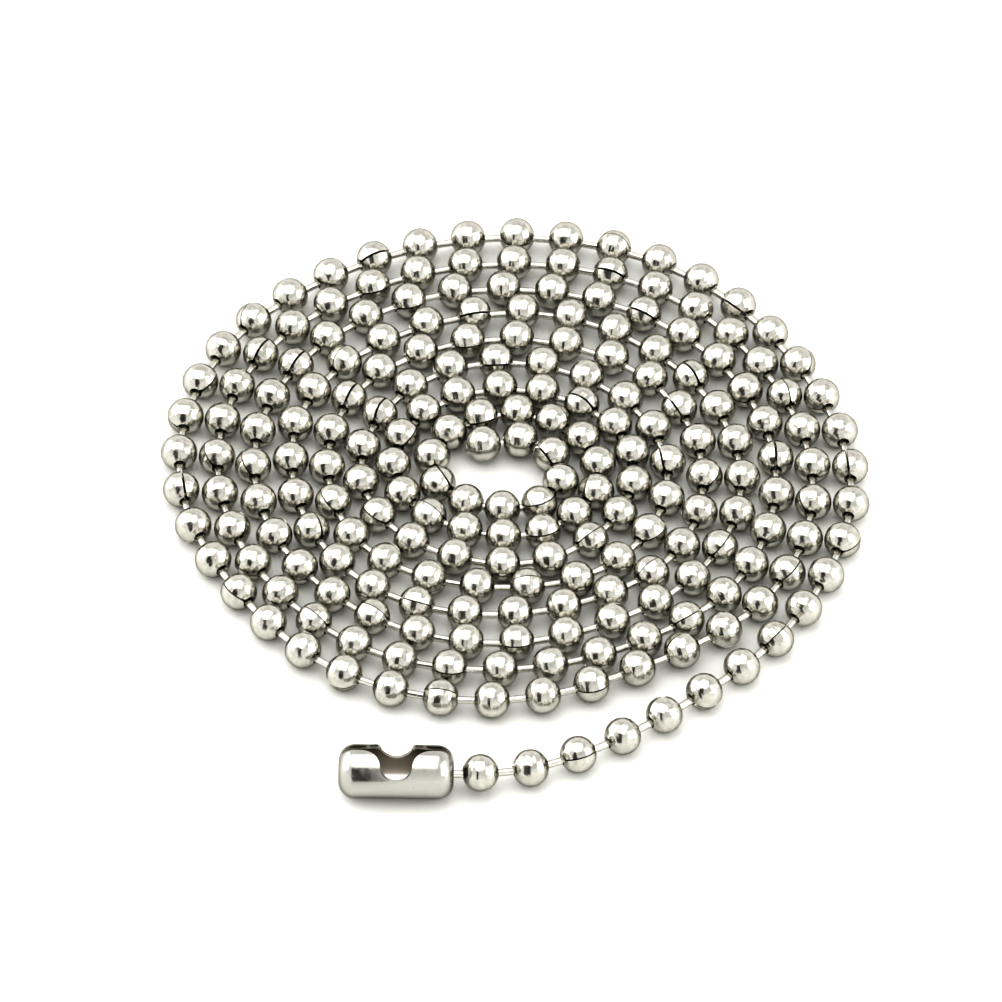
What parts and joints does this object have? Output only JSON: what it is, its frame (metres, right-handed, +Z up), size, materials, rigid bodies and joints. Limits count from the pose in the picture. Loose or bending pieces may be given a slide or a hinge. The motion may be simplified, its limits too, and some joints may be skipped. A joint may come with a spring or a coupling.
{
  "type": "ball chain necklace",
  "caption": "Ball chain necklace of bright hollow metal balls on short wire links, unfastened and laid in a flat open spiral, with a slotted barrel connector on the outer end.",
  "frame": {"origin": "middle of the outline on the surface that the necklace lies on", "axes": "+Z up; -Y is the side of the connector, towards the viewer of the picture; +X to the viewer's right"},
  "size_m": [0.0492, 0.0542, 0.0037],
  "materials": {
    "ball_chain": "bright nickel plate",
    "connector": "bright nickel plate with a soft sheen"
  },
  "bodies": {
    "root": {"connector": "connector", "ball_chain": "ball_chain"}
  },
  "joints": []
}
